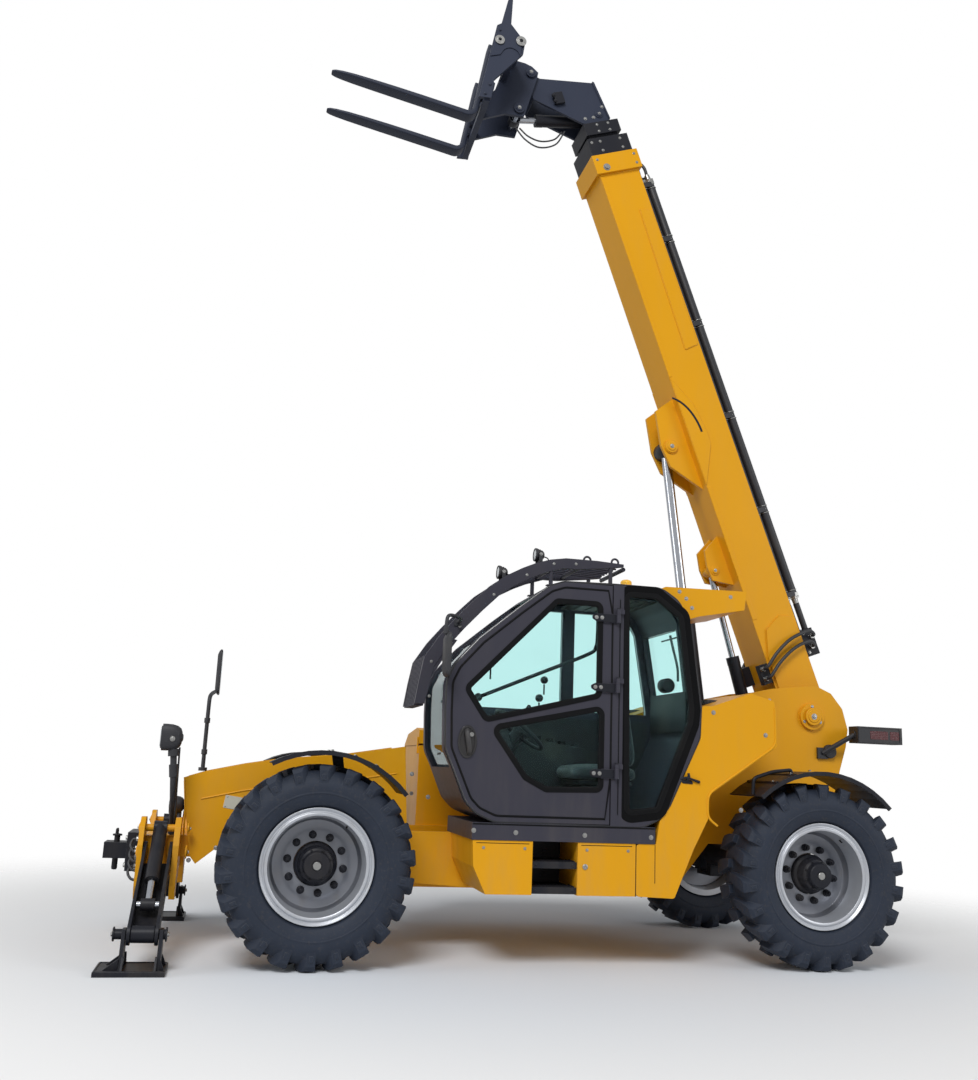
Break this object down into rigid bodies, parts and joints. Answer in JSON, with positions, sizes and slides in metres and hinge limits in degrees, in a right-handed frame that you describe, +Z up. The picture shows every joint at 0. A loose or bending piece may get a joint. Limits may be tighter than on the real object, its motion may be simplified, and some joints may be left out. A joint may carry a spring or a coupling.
{
  "type": "telehandler",
  "caption": "Four-wheel telescopic handler with side cab, raised telescopic boom, pallet forks and folding front stabilisers.",
  "frame": {"origin": "on the ground, under the middle of the whole machine's outline with the boom raised", "axes": "+X forward, +Y to the driver's left, +Z up"},
  "size_m": [5.52, 2.3895, 7.1403],
  "materials": {
    "body_yellow": "warm yellow gloss paint",
    "cab_grey": "dark grey satin paint",
    "black_paint": "black semi-gloss paint",
    "chrome_rod": "ground chrome",
    "hose_rubber": "smooth black hose",
    "glass": "pale aqua tint",
    "seat_fabric": "dark woven cloth",
    "trim_plastic": "grained dark plastic",
    "amber": "translucent amber",
    "tyre": "black rubber",
    "rim_silver": "silver paint"
  },
  "bodies": {
    "chassis": {"chassis_frame": "body_yellow", "side_boxes": "body_yellow", "step_left": "black_paint", "rear_body": "body_yellow", "engine_pod": "body_yellow", "engine_block": "black_paint", "axle_front": "black_paint", "axle_rear": "black_paint", "cab_frame": "cab_grey", "cab_floor": "cab_grey", "cab_glass": "glass", "seat": "seat_fabric", "controls": "trim_plastic", "roof_guard": "black_paint", "cab_cowl": "body_yellow", "beacon": "amber", "work_lamps": "black_paint", "mirrors": "black_paint", "headlamps": "black_paint", "tail_lamps": "black_paint", "tow_hitch": "black_paint", "stabiliser_frame": "body_yellow"},
    "door": {"door": "cab_grey", "door_glass": "glass"},
    "hood": {"hood": "body_yellow"},
    "boom": {"boom_outer": "body_yellow", "boom_pipes": "hose_rubber"},
    "section_2": {"boom_section_2": "black_paint"},
    "section_3": {"boom_section_3": "black_paint"},
    "boom_head": {"boom_head": "black_paint"},
    "carriage": {"carriage": "black_paint", "tines": "black_paint"},
    "lift_barrel": {"lift_barrel": "black_paint"},
    "lift_rod": {"lift_rod": "chrome_rod"},
    "comp_barrel": {"comp_barrel": "black_paint"},
    "comp_rod": {"comp_rod": "chrome_rod"},
    "tilt_barrel": {"tilt_barrel": "black_paint"},
    "tilt_rod": {"tilt_rod": "chrome_rod"},
    "knuckle_front_left": {"knuckle_front_left": "black_paint"},
    "wheel_front_left": {"tyre_front_left": "tyre", "rim_front_left": "rim_silver"},
    "knuckle_front_right": {"knuckle_front_right": "black_paint"},
    "wheel_front_right": {"tyre_front_right": "tyre", "rim_front_right": "rim_silver"},
    "knuckle_rear_left": {"knuckle_rear_left": "black_paint"},
    "wheel_rear_left": {"tyre_rear_left": "tyre", "rim_rear_left": "rim_silver"},
    "knuckle_rear_right": {"knuckle_rear_right": "black_paint"},
    "wheel_rear_right": {"tyre_rear_right": "tyre", "rim_rear_right": "rim_silver"},
    "stab_leg_left": {"stab_leg_left": "black_paint"},
    "stab_barrel_left": {"stab_barrel_left": "black_paint"},
    "stab_rod_left": {"stab_rod_left": "chrome_rod"},
    "stab_foot_left": {"stab_foot_left": "black_paint"},
    "stab_leg_right": {"stab_leg_right": "black_paint"},
    "stab_barrel_right": {"stab_barrel_right": "black_paint"},
    "stab_rod_right": {"stab_rod_right": "chrome_rod"},
    "stab_foot_right": {"stab_foot_right": "black_paint"}
  },
  "joints": [
    {"name": "steer_front_left", "type": "hinge", "parent": "chassis", "child": "knuckle_front_left", "pos_m": [1.457, 0.74, 0.585], "axis": [0, 0, 1], "range_deg": [-30, 30]},
    {"name": "roll_front_left", "type": "hinge", "parent": "knuckle_front_left", "child": "wheel_front_left", "pos_m": [1.457, 1.11, 0.585], "axis": [0, 1, 0], "continuous": true},
    {"name": "steer_front_right", "type": "hinge", "parent": "chassis", "child": "knuckle_front_right", "pos_m": [1.457, -0.74, 0.585], "axis": [0, 0, 1], "range_deg": [-30, 30]},
    {"name": "roll_front_right", "type": "hinge", "parent": "knuckle_front_right", "child": "wheel_front_right", "pos_m": [1.457, -1.11, 0.585], "axis": [0, 1, 0], "continuous": true},
    {"name": "steer_rear_left", "type": "hinge", "parent": "chassis", "child": "knuckle_rear_left", "pos_m": [-1.797, 0.74, 0.585], "axis": [0, 0, 1], "range_deg": [-30, 30]},
    {"name": "roll_rear_left", "type": "hinge", "parent": "knuckle_rear_left", "child": "wheel_rear_left", "pos_m": [-1.797, 1.11, 0.585], "axis": [0, 1, 0], "continuous": true},
    {"name": "steer_rear_right", "type": "hinge", "parent": "chassis", "child": "knuckle_rear_right", "pos_m": [-1.797, -0.74, 0.585], "axis": [0, 0, 1], "range_deg": [-30, 30]},
    {"name": "roll_rear_right", "type": "hinge", "parent": "knuckle_rear_right", "child": "wheel_rear_right", "pos_m": [-1.797, -1.11, 0.585], "axis": [0, 1, 0], "continuous": true},
    {"name": "boom_lift", "type": "hinge", "parent": "chassis", "child": "boom", "pos_m": [-2.14, 0, 1.65], "axis": [0, -1, 0], "range_deg": [-76, 0]},
    {"name": "lift_swing", "type": "hinge", "parent": "chassis", "child": "lift_barrel", "pos_m": [-1.47, 0, 0.95], "axis": [0, -1, 0], "range_deg": [-75.29, 0.2]},
    {"name": "lift_stroke", "type": "slide", "parent": "lift_barrel", "child": "lift_rod", "axis": [0.1227, 0, 0.9924], "range_m": [-1.1956, 0.003]},
    {"name": "comp_swing", "type": "hinge", "parent": "chassis", "child": "comp_barrel", "pos_m": [-1.92, 0, 1.25], "axis": [0, -1, 0], "range_deg": [-71.78, 0.2]},
    {"name": "comp_stroke", "type": "slide", "parent": "comp_barrel", "child": "comp_rod", "axis": [0.2639, 0, 0.9645], "range_m": [-0.5568, 0.003]},
    {"name": "telescope_1", "type": "slide", "parent": "boom", "child": "section_2", "axis": [0.3437, 0, 0.9391], "range_m": [0, 3.4]},
    {"name": "telescope_2", "type": "slide", "parent": "section_2", "child": "section_3", "axis": [0.3437, 0, 0.9391], "range_m": [0, 3.4]},
    {"name": "telescope_3", "type": "slide", "parent": "section_3", "child": "boom_head", "axis": [0.3437, 0, 0.9391], "range_m": [0, 3.4]},
    {"name": "carriage_tilt", "type": "hinge", "parent": "boom_head", "child": "carriage", "pos_m": [0.12004, 0, 6.72011], "axis": [0, 1, 0], "range_deg": [-73, 30]},
    {"name": "tilt_swing", "type": "hinge", "parent": "boom_head", "child": "tilt_barrel", "pos_m": [-0.47781, 0, 6.48314], "axis": [0, 1, 0], "range_deg": [-19.91, 8.3]},
    {"name": "tilt_stroke", "type": "slide", "parent": "tilt_barrel", "child": "tilt_rod", "axis": [0.9888, 0, -0.149], "range_m": [-0.126, 0.3024]},
    {"name": "leg_left", "type": "hinge", "parent": "chassis", "child": "stab_leg_left", "pos_m": [2.395, 0.47, 0.6], "axis": [-1, 0, 0], "range_deg": [-60, 24]},
    {"name": "leg_swing_left", "type": "hinge", "parent": "chassis", "child": "stab_barrel_left", "pos_m": [2.395, 0.44, 0.74], "axis": [-1, 0, 0], "range_deg": [-52.4, 21.08]},
    {"name": "leg_stroke_left", "type": "slide", "parent": "stab_barrel_left", "child": "stab_rod_left", "axis": [0, 0.7519, -0.6593], "range_m": [-0.1182, 0.0491]},
    {"name": "foot_left", "type": "hinge", "parent": "stab_leg_left", "child": "stab_foot_left", "pos_m": [2.395, 1.04446, 0.2], "axis": [1, 0, 0], "range_deg": [-22, 22]},
    {"name": "leg_right", "type": "hinge", "parent": "chassis", "child": "stab_leg_right", "pos_m": [2.395, -0.47, 0.6], "axis": [1, 0, 0], "range_deg": [-60, 24]},
    {"name": "leg_swing_right", "type": "hinge", "parent": "chassis", "child": "stab_barrel_right", "pos_m": [2.395, -0.44, 0.74], "axis": [1, 0, 0], "range_deg": [-52.4, 21.08]},
    {"name": "leg_stroke_right", "type": "slide", "parent": "stab_barrel_right", "child": "stab_rod_right", "axis": [0, -0.7519, -0.6593], "range_m": [-0.1182, 0.0491]},
    {"name": "foot_right", "type": "hinge", "parent": "stab_leg_right", "child": "stab_foot_right", "pos_m": [2.395, -1.04446, 0.2], "axis": [-1, 0, 0], "range_deg": [-22, 22]},
    {"name": "door_hinge", "type": "hinge", "parent": "chassis", "child": "door", "pos_m": [-0.377, 1.074, 1.72], "axis": [0, 0, 1], "range_deg": [0, 100]},
    {"name": "hood_hinge", "type": "hinge", "parent": "chassis", "child": "hood", "pos_m": [-0.14, -0.39, 1.375], "axis": [-1, 0, 0], "range_deg": [0, 60]}
  ],
  "couplings": [
    {"joint": "steer_front_right", "follows": "steer_front_left", "ratio": 1},
    {"joint": "steer_rear_right", "follows": "steer_rear_left", "ratio": 1},
    {"joint": "lift_swing", "follows": "boom_lift", "ratio": 0.98799},
    {"joint": "lift_stroke", "follows": "boom_lift", "m_per_rad": 0.89913},
    {"joint": "comp_swing", "follows": "boom_lift", "ratio": 0.9419},
    {"joint": "comp_stroke", "follows": "boom_lift", "m_per_rad": 0.41752},
    {"joint": "telescope_2", "follows": "telescope_1", "ratio": 1},
    {"joint": "telescope_3", "follows": "telescope_1", "ratio": 1},
    {"joint": "tilt_swing", "follows": "carriage_tilt", "ratio": 0.27},
    {"joint": "tilt_stroke", "follows": "carriage_tilt", "m_per_rad": -0.235},
    {"joint": "leg_swing_left", "follows": "leg_left", "ratio": 0.87},
    {"joint": "leg_stroke_left", "follows": "leg_left", "m_per_rad": 0.11},
    {"joint": "leg_swing_right", "follows": "leg_right", "ratio": 0.87},
    {"joint": "leg_stroke_right", "follows": "leg_right", "m_per_rad": 0.11}
  ]
}
